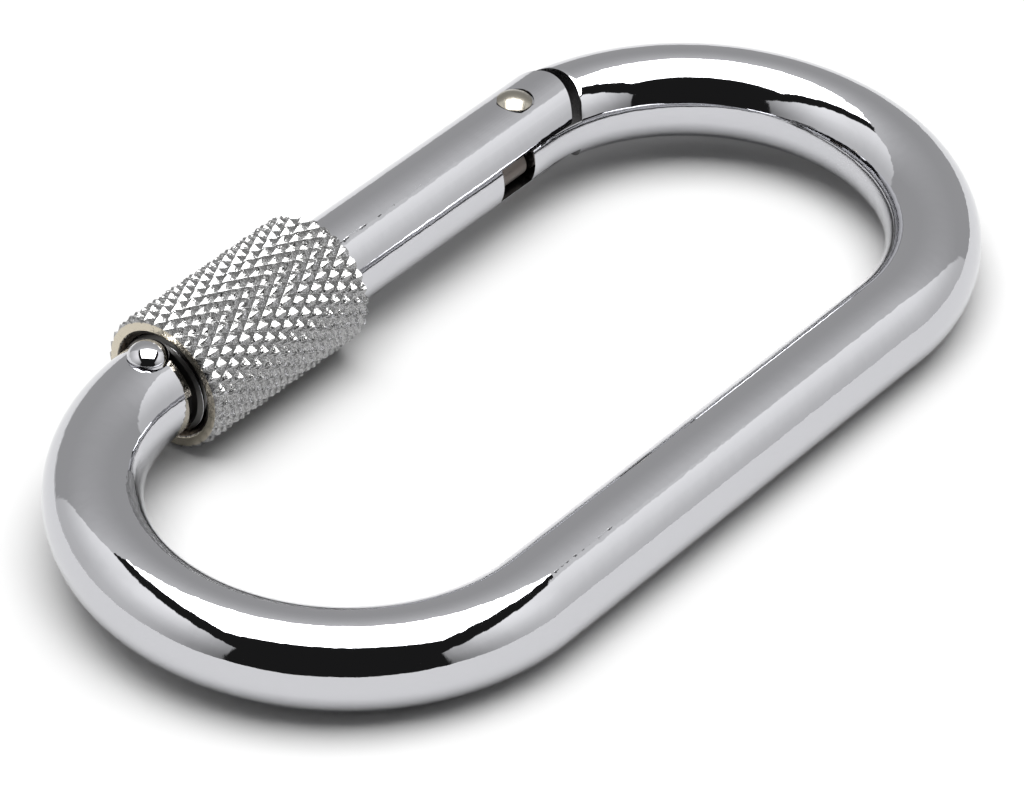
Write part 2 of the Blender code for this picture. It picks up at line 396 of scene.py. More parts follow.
def put(tree, kind, **inputs):
    node = tree.nodes.new(kind)
    for name, value in inputs.items():
        node.inputs[name].default_value = value
    return node


def join(tree, source, target):
    tree.links.new(source, target)


def feed(tree, value, socket):
    """Joins value to the socket where it is one itself, and sets it there where it is a number."""
    if isinstance(value, bpy.types.NodeSocket):
        join(tree, value, socket)
    else:
        socket.default_value = value


def math_node(tree, operation, *values):
    node = tree.nodes.new("ShaderNodeMath")
    node.operation = operation
    for socket, value in zip(node.inputs, values):
        feed(tree, value, socket)
    return node.outputs[0]


def ramp(tree, source, stops):
    """Grey values over source, straight between (place, value) stops that start at 0."""
    node = tree.nodes.new("ShaderNodeValToRGB")
    join(tree, source, node.inputs[0])
    points = node.color_ramp.elements
    points.remove(points[1])
    top = max(value for _, value in stops)
    for index, (place, value) in enumerate(stops):
        point = points.new(place) if index else points[0]
        share = value / top
        point.color = (share, share, share, 1)
    return math_node(tree, "MULTIPLY", node.outputs[0], top)


def smooth_step(tree, source, low, high):
    node = tree.nodes.new("ShaderNodeMapRange")
    node.interpolation_type = "SMOOTHSTEP"
    for name, value in (("Value", source), ("From Min", low), ("From Max", high)):
        feed(tree, value, node.inputs[name])
    return node.outputs[0]


def mix_value(tree, share, a, b):
    node = tree.nodes.new("ShaderNodeMix")
    for index, value in ((0, share), (2, a), (3, b)):
        feed(tree, value, node.inputs[index])
    return node.outputs[0]


def mix_colour(tree, share, a, b):
    node = tree.nodes.new("ShaderNodeMix")
    node.data_type = "RGBA"
    for index, value in ((0, share), (6, a), (7, b)):
        feed(tree, value, node.inputs[index])
    return node.outputs[2]


# Shared surface effects

SCRATCH_SCALE = 5200.0
PATCH_SCALE = 260.0
SPECK_SCALE = 5600.0
RELIEF_DEPTH = 0.02 * MM
# Painted shade: the dark colours below stand for shade in the hinge's and slot's recesses, on the
# gate's nose face and inside the sleeve's bore.
PAINTED_RECESS_SHADE = (0.15, 0.147, 0.148)
PAINTED_NOSE_SHADE = (0.085, 0.083, 0.08)
PAINTED_BORE_SHADE = (0.12, 0.095, 0.07)


def group(name, inputs, outputs):
    made = bpy.data.node_groups.new(name, "ShaderNodeTree")
    for label, kind, default in inputs:
        socket = made.interface.new_socket(name=label, in_out="INPUT", socket_type=kind)
        if default is not None:
            socket.default_value = default
    for label, kind in outputs:
        made.interface.new_socket(name=label, in_out="OUTPUT", socket_type=kind)
    entry = made.nodes.new("NodeGroupInput")
    leave = made.nodes.new("NodeGroupOutput")
    return made, entry, leave


def noise(tree, vector, scale, detail, roughness):
    node = put(tree, "ShaderNodeTexNoise", Detail=detail, Roughness=roughness)
    feed(tree, scale, node.inputs["Scale"])
    join(tree, vector, node.inputs["Vector"])
    return node.outputs[0]


def plating_group():
    """Bright plating over polished steel: slow ripples, polishing haze and fine scratches."""
    found = bpy.data.node_groups.get("plating")
    if found:
        return found
    made, entry, leave = group(
        "plating",
        [
            ("Vector", "NodeSocketVector", None),
            ("Ripple Scale", "NodeSocketFloat", 420.0),
            ("Ripple", "NodeSocketFloat", 1.0),
            ("Scratches", "NodeSocketFloat", 0.3),
            ("Grain", "NodeSocketFloat", 0.0),
            ("Base Roughness", "NodeSocketFloat", 0.04),
            ("Colour", "NodeSocketColor", (0.66, 0.66, 0.68, 1)),
            ("Dull Colour", "NodeSocketColor", (0.55, 0.55, 0.56, 1)),
        ],
        [
            ("Colour", "NodeSocketColor"),
            ("Roughness", "NodeSocketFloat"),
            ("Height", "NodeSocketFloat"),
        ],
    )
    vector = entry.outputs["Vector"]
    slow = noise(made, vector, entry.outputs["Ripple Scale"], 1.5, 0.45)
    fine_scale = math_node(made, "MULTIPLY", entry.outputs["Ripple Scale"], 5.0)
    fine = noise(made, vector, fine_scale, 2.0, 0.6)
    ripples = math_node(made, "ADD", slow, math_node(made, "MULTIPLY", fine, 0.06))
    ripples = math_node(made, "MULTIPLY", ripples, entry.outputs["Ripple"])
    stretched = put(made, "ShaderNodeMapping")
    stretched.inputs["Scale"].default_value = (1.0, 0.12, 1.0)
    stretched.inputs["Rotation"].default_value = (0.0, 0.0, 0.5)
    join(made, vector, stretched.inputs["Vector"])
    lines = noise(made, stretched.outputs[0], SCRATCH_SCALE, 3.0, 0.7)
    scratch = smooth_step(made, lines, 0.66, 0.80)
    patches = smooth_step(made, noise(made, vector, PATCH_SCALE, 3.0, 0.6), 0.45, 0.75)
    scratch = math_node(made, "MULTIPLY", scratch, patches)
    scratch = math_node(made, "MULTIPLY", scratch, entry.outputs["Scratches"])
    specks = smooth_step(made, noise(made, vector, SPECK_SCALE, 2.0, 0.7), 0.40, 0.62)
    specks = math_node(made, "MULTIPLY", specks, entry.outputs["Grain"])
    dulled = math_node(made, "MAXIMUM", scratch, specks)
    haze = math_node(made, "MULTIPLY", patches, 0.03)
    rough = math_node(made, "ADD", entry.outputs["Base Roughness"], haze)
    rough = math_node(made, "ADD", rough, math_node(made, "MULTIPLY", dulled, 0.25))
    tint = mix_colour(made, dulled, entry.outputs["Colour"], entry.outputs["Dull Colour"])
    height = math_node(made, "SUBTRACT", ripples, math_node(made, "MULTIPLY", scratch, 0.05))
    join(made, tint, leave.inputs["Colour"])
    join(made, rough, leave.inputs["Roughness"])
    join(made, height, leave.inputs["Height"])
    return made


def radius_about(tree, vector, centre, axis):
    """Distance from a line through centre along axis 1 or 2 (Y or Z)."""
    parts = tree.nodes.new("ShaderNodeSeparateXYZ")
    join(tree, vector, parts.inputs[0])
    other = 2 if axis == 1 else 1
    across = math_node(tree, "SUBTRACT", parts.outputs[0], centre[0])
    rise = math_node(tree, "SUBTRACT", parts.outputs[other], centre[other])
    across = math_node(tree, "MULTIPLY", across, across)
    rise = math_node(tree, "MULTIPLY", rise, rise)
    return math_node(tree, "SQRT", math_node(tree, "ADD", across, rise)), parts


def metal(name, colour, dull, mask=None, **finish):
    """A plated or bare metal on Object coordinates, with finish as the plating's other values.

    mask(tree, place) may return (share, colour, roughness) layers that lie over the plating where
    share is 1.
    """
    made = bpy.data.materials.new(name)
    made.use_nodes = True
    tree = made.node_tree
    shader = tree.nodes["Principled BSDF"]
    shader.inputs["Metallic"].default_value = 1
    place = tree.nodes.new("ShaderNodeTexCoord").outputs["Object"]
    plating = tree.nodes.new("ShaderNodeGroup")
    plating.node_tree = plating_group()
    join(tree, place, plating.inputs["Vector"])
    plating.inputs["Colour"].default_value = (*colour, 1)
    plating.inputs["Dull Colour"].default_value = (*dull, 1)
    for label, value in finish.items():
        plating.inputs[label.replace("_", " ").title()].default_value = value
    relief = put(tree, "ShaderNodeBump", Strength=1.0, Distance=RELIEF_DEPTH)
    join(tree, plating.outputs["Height"], relief.inputs["Height"])
    shown, rough = plating.outputs["Colour"], plating.outputs["Roughness"]
    for share, layer, layer_rough in (mask(tree, place) if mask else ()):
        shown = mix_colour(tree, share, shown, (*layer, 1))
        rough = mix_value(tree, share, rough, layer_rough)
    join(tree, shown, shader.inputs["Base Color"])
    join(tree, rough, shader.inputs["Roughness"])
    join(tree, relief.outputs["Normal"], shader.inputs["Normal"])
    return made


def shoulder_painted_shade(tree, place):
    """Painted shade: a dark, rougher layer inside the hinge's hollow shoulder and on the flats of
    the tongue, where shade falls.
    """
    reach, parts = radius_about(tree, place, PIVOT, 2)
    height = math_node(tree, "ABSOLUTE", parts.outputs[2])
    share = math_node(
        tree, "MULTIPLY",
        smooth_step(tree, reach, SHOULDER_RADIUS + 0.03 * MM, SHOULDER_RADIUS + 0.01 * MM),
        smooth_step(tree, height, TONGUE_HALF - 0.02 * MM, TONGUE_HALF - 0.01 * MM),
    )
    return ((share, PAINTED_RECESS_SHADE, 0.24),)


def slot_painted_shade(tree, place):
    """Painted shade: a dark, rougher layer inside the gate's slot and on the face of its nose,
    where shade falls.
    """
    parts = tree.nodes.new("ShaderNodeSeparateXYZ")
    join(tree, place, parts.inputs[0])
    height = math_node(tree, "ABSOLUTE", parts.outputs[2])
    half = bpy.context.scene.carabiner_sizes.slot_half
    # Painted shade inside the slot.
    share = math_node(
        tree, "MULTIPLY",
        smooth_step(tree, height, half + 0.02 * MM, half + 0.01 * MM),
        smooth_step(tree, parts.outputs[1], SLOT_BOTTOM - 0.10 * MM, SLOT_BOTTOM - 0.02 * MM),
    )
    reach, parts = radius_about(tree, place, (GATE_X, 0, 0), 1)
    # Painted shade on the gate's nose face.
    nose = math_node(
        tree, "MULTIPLY",
        smooth_step(tree, parts.outputs[1], GATE_END + 1.4 * MM, GATE_END + 1.0 * MM),
        smooth_step(tree, reach, THREAD_CREST - 0.02 * MM, THREAD_CREST - 0.05 * MM),
    )
    return ((share, PAINTED_RECESS_SHADE, 0.26), (nose, PAINTED_NOSE_SHADE, 0.33))


def chrome(name, mask=None):
    colour = bpy.context.scene.carabiner_finishes.chrome
    return metal(
        name, colour, (0.42, 0.42, 0.42), mask,
        base_roughness=0.022, ripple=1.0, ripple_scale=560.0, scratches=0.25,
    )


# Pieces


def rod():
    """The whole bar: nose, nose bow, spine, hinge bow and the tongue's run."""
    sizes = bpy.context.scene.carabiner_sizes
    shape = bmesh.new()
    made = bmesh.ops.create_circle(
        shape, cap_ends=True, segments=sizes.rod_sides, radius=ROD_RADIUS - sizes.nose_chamfer
    )
    turn = Matrix.Rotation(math.pi / 2, 4, "X")
    place = Matrix.Translation((GATE_X, FRAME_END, 0))
    bmesh.ops.transform(shape, matrix=place @ turn, verts=made["verts"])
    rim = [e for e in shape.edges if e.is_boundary]

    def onward(edges, step, scale=1.0):
        made = bmesh.ops.extrude_edge_only(shape, edges=edges)["geom"]
        verts = [g for g in made if isinstance(g, bmesh.types.BMVert)]
        centre = sum((v.co for v in verts), Vector()) / len(verts)
        bmesh.ops.scale(shape, vec=(scale,) * 3, space=Matrix.Translation(-centre), verts=verts)
        bmesh.ops.translate(shape, vec=step, verts=verts)
        return [g for g in made if isinstance(g, bmesh.types.BMEdge)]

    def round_bow(edges, centre_y):
        verts = list(dict.fromkeys(v for e in edges for v in e.verts))
        made = bmesh.ops.spin(
            shape, geom=verts + edges, cent=(CENTRE_X, centre_y, 0), axis=(0, 0, 1),
            angle=math.pi, steps=sizes.bow_steps, use_duplicate=False,
        )["geom_last"]
        return [g for g in made if isinstance(g, bmesh.types.BMEdge)]

    grow = ROD_RADIUS / (ROD_RADIUS - sizes.nose_chamfer)
    rim = onward(rim, Vector((0, -sizes.nose_chamfer, 0)), grow)
    rim = onward(rim, Vector((0, -HALF_STRAIGHT - (FRAME_END - sizes.nose_chamfer), 0)))
    rim = round_bow(rim, -HALF_STRAIGHT)
    rim = onward(rim, Vector((0, 2 * HALF_STRAIGHT, 0)))
    rim = round_bow(rim, HALF_STRAIGHT)
    rim = onward(rim, Vector((0, TONGUE_TIP - HALF_STRAIGHT, 0)))
    bmesh.ops.holes_fill(shape, edges=rim)
    return shape


def build_frame(sizes):
    # The bar's chrome carries painted shade in its hinge shoulder and on the tongue.
    obj = to_object("bar_frame", rod(), chrome("chrome_bar", shoulder_painted_shade))
    depth = Vector((0, 0, FAR))
    for side in (1, -1):
        reach = Vector((0, 0, side))
        combine(obj, cylinder(
            "cheek", SHOULDER_RADIUS, PIVOT + reach * TONGUE_HALF, PIVOT + reach * FAR, 160
        ))
    combine(obj, cylinder("tongue_hole", RIVET_HOLE, PIVOT - depth, PIVOT + depth))
    spot_floor = STUD + Vector((0, 0, POCKET_FLOOR))
    combine(obj, cylinder("stud_spot", STUD_SPOT, spot_floor, STUD + depth, 96))
    hole_floor = STUD + Vector((0, 0, STUD_HOLE_FLOOR))
    combine(obj, cylinder("stud_hole", STUD_HOLE, hole_floor, STUD + depth))
    settle(obj)
    clean(obj)
    round_edges(obj, sizes.edge_round)
    combine(obj, block(
        "nose_notch",
        (GATE_X + NOTCH_WALL, NOTCH_FLOOR, -NOTCH_HALF),
        (GATE_X + FAR / 2, GATE_END, NOTCH_HALF),
    ))
    settle(obj)
    clean(obj)
    shade(obj)
    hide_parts("frame")
    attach(obj, "ring")


def thread(name, crest, root, pitch, start, end, lead_in):
    """A screw thread about the gate's axis from start to end, as one closed solid."""
    steps = 48
    shape = bmesh.new()
    flank = pitch * THREAD_FLANK_SHARE
    flat = pitch * THREAD_FLAT_SHARE
    first = start - 2 * pitch
    profile = [
        (root, 0), (crest, flank), (crest, flank + flat), (root, 2 * flank + flat), (root, pitch)
    ]
    points = [shape.verts.new((radius, 0, first + height)) for radius, height in profile]
    for a, b in zip(points, points[1:]):
        shape.edges.new((a, b))
    turns = math.ceil((end - start) / pitch) + 3
    bmesh.ops.spin(
        shape, geom=shape.verts[:] + shape.edges[:], cent=(0, 0, 0), axis=(0, 0, 1),
        dvec=(0, 0, pitch / steps), angle=2 * math.pi * turns, steps=steps * turns,
    )
    bmesh.ops.remove_doubles(shape, verts=shape.verts, dist=MM / 1000)
    for height, away in ((start, (0, 0, -1)), (end, (0, 0, 1))):
        made = bmesh.ops.bisect_plane(
            shape, geom=shape.verts[:] + shape.edges[:] + shape.faces[:],
            plane_co=(0, 0, height), plane_no=away, clear_outer=True,
        )["geom_cut"]
        edges = [g for g in made if isinstance(g, bmesh.types.BMEdge)]
        bmesh.ops.holes_fill(shape, edges=edges)
    lay_along_y(shape)
    obj = to_object(name, shape)
    margin = 0.02 * MM
    cone = turned([
        (0, start - MM), (crest - lead_in - margin, start - MM), (crest - lead_in, start),
        (crest + margin, start + lead_in), (crest + margin, end + MM), (0, end + MM),
    ])
    lay_along_y(cone)
    combine(obj, to_object("lead_in", cone), "INTERSECT")
    settle(obj)
    return obj


def build_gate(sizes):
    ear_end = GATE_HIGH.y + EAR_ALLOWANCE
    back = THREAD_BACK - RUN_OUT
    root = THREAD_CREST - sizes.thread_depth
    shape = turned([
        (0, ear_end), (ROD_RADIUS, ear_end), (ROD_RADIUS, THREAD_BACK), (root, back), (0, back),
    ], steps=sizes.rod_sides)
    lay_along_y(shape)
    # The gate's chrome carries painted shade in its slot and on its nose face.
    obj = to_object("sprung_gate", shape, chrome("chrome_gate", slot_painted_shade))
    combine(obj, thread(
        "gate_thread", THREAD_CREST, root, sizes.thread_pitch,
        start=GATE_END, end=back + RUN_OUT / 2, lead_in=THREAD_LEAD_IN,
    ), "UNION")
    ears = block(
        "ear_end",
        (GATE_X - FAR / 2, PIVOT.y + EAR_RADIUS / 2, -FAR / 2),
        (GATE_X + FAR / 2, PIVOT.y + FAR, FAR / 2),
    )
    depth = Vector((0, 0, FAR))
    combine(ears, cylinder("ear_round", EAR_RADIUS, PIVOT - depth, PIVOT + depth, 192))
    settle(ears)
    combine(obj, ears)
    combine(obj, block(
        "gate_slot",
        (GATE_X - FAR / 2, SLOT_BOTTOM, -sizes.slot_half),
        (GATE_X + FAR / 2, PIVOT.y + FAR, sizes.slot_half),
    ))
    combine(obj, cylinder("ear_holes", RIVET_HOLE, PIVOT - depth, PIVOT + depth))
    for side in (1, -1):
        floor = PIVOT + Vector((0, 0, side * POCKET_FLOOR))
        combine(obj, cylinder("rivet_spot", RIVET_SPOT, floor, floor + side * depth, 96))
    bore_x = (PLUNGER_LOW.x + PLUNGER_HIGH.x) / 2
    combine(obj, cylinder(
        "plunger_bore", PLUNGER_HIGH.z + BORE_CLEARANCE,
        Vector((bore_x, BORE_FLOOR, 0)), Vector((bore_x, PIVOT.y, 0)), 64,
    ))
    combine(obj, block(
        "tenon",
        (GATE_X + TENON_OUTER, TENON_TIP, -TENON_HALF),
        (GATE_X + TENON_INNER, GATE_END + ROD_RADIUS / 2, TENON_HALF),
    ), "UNION")
    settle(obj)
    clean(obj)
    round_edges(obj, sizes.edge_round * GATE_EDGE_SHARE)
    shade(obj)
    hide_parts("gate")
    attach(obj, "gate_arm")


def knurled_skin(sizes):
    """A closed barrel of pointed diamonds about local Z, longer than the sleeve at both ends."""
    columns = 2 * sizes.knurl_starts
    row = (SLEEVE_BACK - SLEEVE_MOUTH) / sizes.knurl_rows
    shape = bmesh.new()
    count = sizes.knurl_rows + 3
    points = [
        shape.verts.new((KNURL_CUT, 0, SLEEVE_MOUTH + (i - 1) * row)) for i in range(count)
    ]
    edges = [shape.edges.new(pair) for pair in zip(points, points[1:])]
    bmesh.ops.spin(
        shape, geom=points + edges, cent=(0, 0, 0), axis=(0, 0, 1),
        angle=2 * math.pi, steps=columns, use_merge=True,
    )
    bmesh.ops.remove_doubles(shape, verts=shape.verts, dist=MM / 1000)

    def parity(v):
        column = round(math.atan2(v.co.y, v.co.x) / (2 * math.pi) * columns)
        line = round((v.co.z - SLEEVE_MOUTH) / row)
        return (column + line) % 2

    low = [v for v in shape.verts if parity(v)]
    high = [v for v in shape.verts if not parity(v)]
    sunk = (KNURL_CUT - sizes.knurl_depth) / KNURL_CUT
    bmesh.ops.scale(shape, vec=(sunk, sunk, 1), verts=low)
    grooves = bmesh.ops.connect_verts(shape, verts=low)["edges"]
    raised = (KNURL_CUT + sizes.knurl_crest * KNURL_POINT_SHARE) / KNURL_CUT
    bmesh.ops.scale(shape, vec=(raised, raised, 1), verts=high)
    bmesh.ops.bevel(
        shape, geom=grooves, offset=sizes.knurl_groove, offset_type="OFFSET", segments=3,
        profile=0.5, affect="EDGES", material=-1, clamp_overlap=True,
    )
    ends = [e for e in shape.edges if e.is_boundary]
    bmesh.ops.holes_fill(shape, edges=ends)
    return shape


def build_sleeve(sizes, finishes):
    shape = knurled_skin(sizes)
    lay_along_y(shape)

    def mouth_layers(tree, place):
        """The turned end face shows warm steel; inside the bore and on the mouth's inner chamfer a
        painted shade darkens it.
        """
        reach, parts = radius_about(tree, place, (GATE_X, 0, 0), 1)
        along = parts.outputs[1]
        face = math_node(
            tree, "MULTIPLY",
            smooth_step(tree, along, SLEEVE_MOUTH + 0.10 * MM, SLEEVE_MOUTH + 0.03 * MM),
            smooth_step(tree, reach, FACE_RADIUS + 0.08 * MM, FACE_RADIUS),
        )
        # Painted shade inside the bore and on the mouth's inner chamfer.
        bore = math_node(
            tree, "MULTIPLY",
            smooth_step(tree, reach, FACE_INNER, FACE_INNER - 0.25 * MM),
            smooth_step(tree, along, SLEEVE_BACK - 0.3 * MM, SLEEVE_BACK - 0.6 * MM),
        )
        return ((face, finishes.turned_steel, 0.22), (bore, PAINTED_BORE_SHADE, 0.30))

    material = metal(
        "sleeve_plate", finishes.knurl, (0.10, 0.098, 0.095), mouth_layers,
        base_roughness=0.07, ripple=3.2, ripple_scale=3600.0, scratches=1.0, grain=0.65,
    )
    obj = to_object("knurled_sleeve", shape, material)
    body = turned([
        (KNURL_CUT - KNURL_END, SLEEVE_BACK), (KNURL_CUT, SLEEVE_BACK - KNURL_END),
        (KNURL_CUT, SLEEVE_MOUTH + 0.35 * MM), (FACE_RADIUS, SLEEVE_MOUTH),
        (FACE_INNER, SLEEVE_MOUTH), (SLEEVE_RELIEF_MOUTH, SLEEVE_MOUTH + 0.55 * MM),
        (SLEEVE_RELIEF, SLEEVE_MOUTH + 0.6 * MM), (SLEEVE_RELIEF, SLEEVE_LIP),
        (SLEEVE_BORE, SLEEVE_LIP), (SLEEVE_BORE, SLEEVE_BACK - 0.12 * MM),
        (SLEEVE_BORE_MOUTH, SLEEVE_BACK),
    ], steps=120)
    lay_along_y(body)
    combine(obj, to_object("sleeve_body", body), "INTERSECT")
    settle(obj)
    clean(obj, MM / 2000)
    shade(obj, 35)
    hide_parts("locking_sleeve")
    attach(obj, "sleeve")


def build_stud():
    shape = turned([
        *dome(STUD_HEAD, HEAD_SEAT, STUD_HIGH.z - HEAD_SEAT), (STUD_SHANK, HEAD_SEAT),
        (STUD_SHANK, STUD_FOOT), (0, STUD_FOOT),
    ])
    bmesh.ops.translate(shape, vec=STUD, verts=shape.verts)
    obj = to_object("round_stud", shape, chrome("chrome_stud"))
    shade(obj, 40, weighted=False)
    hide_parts("stop_stud")
    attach(obj, "ring")


def build_rivet(finishes):
    brim = HEAD_SEAT + RIVET_BRIM
    head = cap(RIVET_HEAD, brim, RIVET_HIGH.z - brim)
    upper = [*head, (RIVET_HEAD, HEAD_SEAT), (RIVET_SHANK, HEAD_SEAT)]
    lower = [(radius, -height) for radius, height in reversed(upper)]
    shape = turned(upper + lower)
    bmesh.ops.translate(shape, vec=PIVOT, verts=shape.verts)
    material = metal(
        "rivet_nickel", finishes.nickel, (0.24, 0.20, 0.15),
        base_roughness=0.235, ripple=1.0, ripple_scale=1400.0, scratches=0.9,
    )
    obj = to_object("domed_rivet", shape, material)
    shade(obj, 40, weighted=False)
    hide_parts("hinge_rivet")
    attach(obj, "gate_arm")


def build_plunger(finishes):
    radius = PLUNGER_HIGH.z
    shape = turned([
        *cap(radius, PLUNGER_HIGH.y - PLUNGER_CROWN, PLUNGER_CROWN),
        (radius, PLUNGER_LOW.y + PLUNGER_CHAMFER), (radius - PLUNGER_CHAMFER, PLUNGER_LOW.y),
        (0, PLUNGER_LOW.y),
    ], steps=64)
    lay_along_y(shape, (PLUNGER_LOW.x + PLUNGER_HIGH.x) / 2 - GATE_X)
    material = metal(
        "bare_steel", finishes.bare_steel, (0.12, 0.10, 0.085),
        base_roughness=0.42, ripple=1.0, ripple_scale=1500.0, scratches=0.8,
    )
    obj = to_object("spring_plunger", shape, material)
    shade(obj, 40, weighted=False)
    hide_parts("plunger")
    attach(obj, "pusher")


def build_spring(sizes, finishes):
    coil = SPRING_HIGH.z - WIRE_RADIUS
    middle_x = (SPRING_LOW.x + SPRING_HIGH.x) / 2
    low = SPRING_LOW.y + WIRE_RADIUS
    high = SPRING_HIGH.y - WIRE_RADIUS
    steps = 32 * sizes.spring_turns
    shape = bmesh.new()
    made = bmesh.ops.create_circle(shape, cap_ends=True, segments=12, radius=WIRE_RADIUS)
    place = Matrix.Translation((middle_x + coil, low, 0))
    bmesh.ops.transform(shape, matrix=place, verts=made["verts"])
    rim = [e for e in shape.edges if e.is_boundary]
    last = bmesh.ops.spin(
        shape, geom=made["verts"] + rim, cent=(middle_x, 0, 0), axis=(0, 1, 0),
        dvec=(0, (high - low) / steps, 0), angle=2 * math.pi * sizes.spring_turns, steps=steps,
        use_duplicate=False,
    )["geom_last"]
    bmesh.ops.holes_fill(shape, edges=[g for g in last if isinstance(g, bmesh.types.BMEdge)])
    material = metal(
        "spring_steel", finishes.spring_steel, (0.30, 0.29, 0.28),
        base_roughness=0.24, ripple=0.6, ripple_scale=1500.0, scratches=0.5,
    )
    obj = to_object("coil_spring", shape, material)
    shade(obj, 60, weighted=False)
    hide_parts("gate_spring")
    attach(obj, "gate_arm")
    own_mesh(obj)


# Stage


def light_tent(stage):
    """The surroundings: a grey back, pale sides, an open dark front and a softbox above."""
    world = bpy.data.worlds.new("light_tent")
    bpy.context.scene.world = world
    world.use_nodes = True
    tree = world.node_tree
    out = tree.nodes["Background"]
    front = CAMERA_PLACE - CAMERA_AIM
    turn = tree.nodes.new("ShaderNodeVectorRotate")
    turn.rotation_type = "Z_AXIS"
    turn.inputs["Angle"].default_value = -math.pi / 2 - math.atan2(front.y, front.x)
    place = tree.nodes.new("ShaderNodeTexCoord")
    join(tree, place.outputs["Generated"], turn.inputs["Vector"])
    parts = tree.nodes.new("ShaderNodeSeparateXYZ")
    join(tree, turn.outputs[0], parts.inputs[0])
    right, away, up = parts.outputs
    tiny = 1e-4

    # Where a ray meets the ceiling, in units of the ceiling's height
    safe_up = math_node(tree, "MAXIMUM", up, tiny)
    u = math_node(tree, "DIVIDE", right, safe_up)
    v = math_node(tree, "DIVIDE", away, safe_up)

    def within(source, low, high):
        return math_node(
            tree, "MULTIPLY",
            smooth_step(tree, source, low - SOFTBOX_BLUR, low + SOFTBOX_BLUR),
            smooth_step(tree, source, high + SOFTBOX_BLUR, high - SOFTBOX_BLUR),
        )

    between = within(u, SOFTBOX_LEFT, SOFTBOX_RIGHT)
    box = math_node(tree, "MULTIPLY", between, within(v, SOFTBOX_FRONT, SOFTBOX_BACK))
    behind = math_node(tree, "MULTIPLY", between, smooth_step(tree, v, 0.0, 0.1))
    corner = smooth_step(tree, math_node(tree, "ADD", u, v), *PALE_CORNER)
    dark = mix_value(tree, corner, DARK_LEVEL, CORNER_LEVEL)
    ceiling = mix_value(tree, behind, dark, BEHIND_LEVEL)
    ceiling = mix_value(tree, box, ceiling, stage.softbox)

    # How far along the ray each wall is. The nearest one is seen
    def reach(rate, distance):
        return math_node(tree, "DIVIDE", distance, math_node(tree, "MAXIMUM", rate, tiny))

    right_rate = math_node(tree, "ADD", right, math_node(tree, "MULTIPLY", away, RIGHT_SLANT))
    to_right = reach(right_rate, RIGHT_WALL)
    left_rate = math_node(tree, "SUBTRACT", math_node(tree, "MULTIPLY", away, LEFT_SLANT), right)
    to_left = reach(left_rate, LEFT_WALL)
    to_back = reach(away, BACK_DISTANCE)
    to_side = math_node(tree, "MINIMUM", to_right, to_left)
    side_along = math_node(tree, "MULTIPLY", to_side, away)
    side_height = math_node(tree, "MULTIPLY", to_side, up)
    back_height = math_node(tree, "MULTIPLY", to_back, up)
    is_back = smooth_step(tree, math_node(tree, "SUBTRACT", to_side, to_back), -0.02, 0.03)
    is_back = math_node(tree, "MULTIPLY", is_back, smooth_step(tree, away, 0.0, 0.02))

    side = ramp(tree, side_height, SIDE_WALL)
    middle = math_node(tree, "MINIMUM", math_node(tree, "ADD", side_along, 0.08), 0.22)
    square = math_node(tree, "MULTIPLY", middle, middle)
    fall = math_node(tree, "MULTIPLY_ADD", square, 1.5, 1.0)
    side = math_node(tree, "DIVIDE", side, fall)
    side = math_node(tree, "MULTIPLY", side, stage.wall)
    opening = smooth_step(tree, side_along, *OPENING)
    side = mix_value(tree, opening, DARK_LEVEL, side)
    back = ramp(tree, back_height, BACK_WALL)
    back = math_node(tree, "MULTIPLY", back, stage.backdrop)
    walls = mix_value(tree, is_back, side, back)
    nearest = math_node(tree, "MULTIPLY", math_node(tree, "MINIMUM", to_side, to_back), up)
    above = mix_value(tree, smooth_step(tree, nearest, 0.98, 1.02), walls, ceiling)

    # Rays that leave below the floor see a plain pale surface, and so does the camera
    lower = smooth_step(tree, up, -0.02, 0.0)
    level = mix_value(tree, lower, BELOW_LEVEL, above)
    seen = tree.nodes.new("ShaderNodeLightPath")
    level = mix_value(tree, seen.outputs["Is Camera Ray"], level, SEEN_LEVEL)
    join(tree, level, out.inputs["Strength"])
    out.inputs["Color"].default_value = (1, 1, 1, 1)
    world.cycles.sampling_method = "MANUAL"
    world.cycles.sample_map_resolution = 1024


def lay_floor(stage):
    """A wide pale floor, touching the sleeve and the spine, on which the carabiner rests."""
    shape = bmesh.new()
    bmesh.ops.create_grid(shape, x_segments=1, y_segments=1, size=6)
    spine = Vector((CENTRE_X + BOW_RADIUS, 0, -ROD_RADIUS))
    sleeve = Vector((GATE_X, 0, -SLEEVE_RADIUS))
    along = spine - sleeve
    tilt = -math.atan2(along.z, along.x)
    drop = Vector((0, 0, -0.02 * MM))
    place = Matrix.Translation((spine + sleeve) / 2 + drop) @ Matrix.Rotation(tilt, 4, "Y")
    bmesh.ops.transform(shape, matrix=place, verts=shape.verts)
    material = bpy.data.materials.new("pale_floor")
    material.use_nodes = True
    tree = material.node_tree
    shader = tree.nodes["Principled BSDF"]
    shader.inputs["Roughness"].default_value = 0.9
    shader.inputs["Specular IOR Level"].default_value = 0.0
    shader.inputs["Base Color"].default_value = (*stage.floor_colour, 1)
    obj = to_object("floor", shape, material)
    if obj.data.polygons[0].normal.z < 0:
        obj.data.flip_normals()


def set_camera():
    data = bpy.data.cameras.new("camera")
    data.lens = CAMERA_LENS
    data.sensor_width = 36
    data.clip_start = 0.01
    data.clip_end = 20
    camera = bpy.data.objects.new("camera", data)
    bpy.context.scene.collection.objects.link(camera)
    back = (CAMERA_PLACE - CAMERA_AIM).normalized()
    level = Vector((0, 0, 1)).cross(back).normalized()
    rise = back.cross(level)
    roll = Matrix.Rotation(CAMERA_ROLL, 3, back)
    right = roll @ level
    rise = roll @ rise
    turn = Matrix((right, rise, back)).transposed().to_4x4()
    camera.matrix_world = Matrix.Translation(CAMERA_PLACE) @ turn
    bpy.context.scene.camera = camera


# Operators


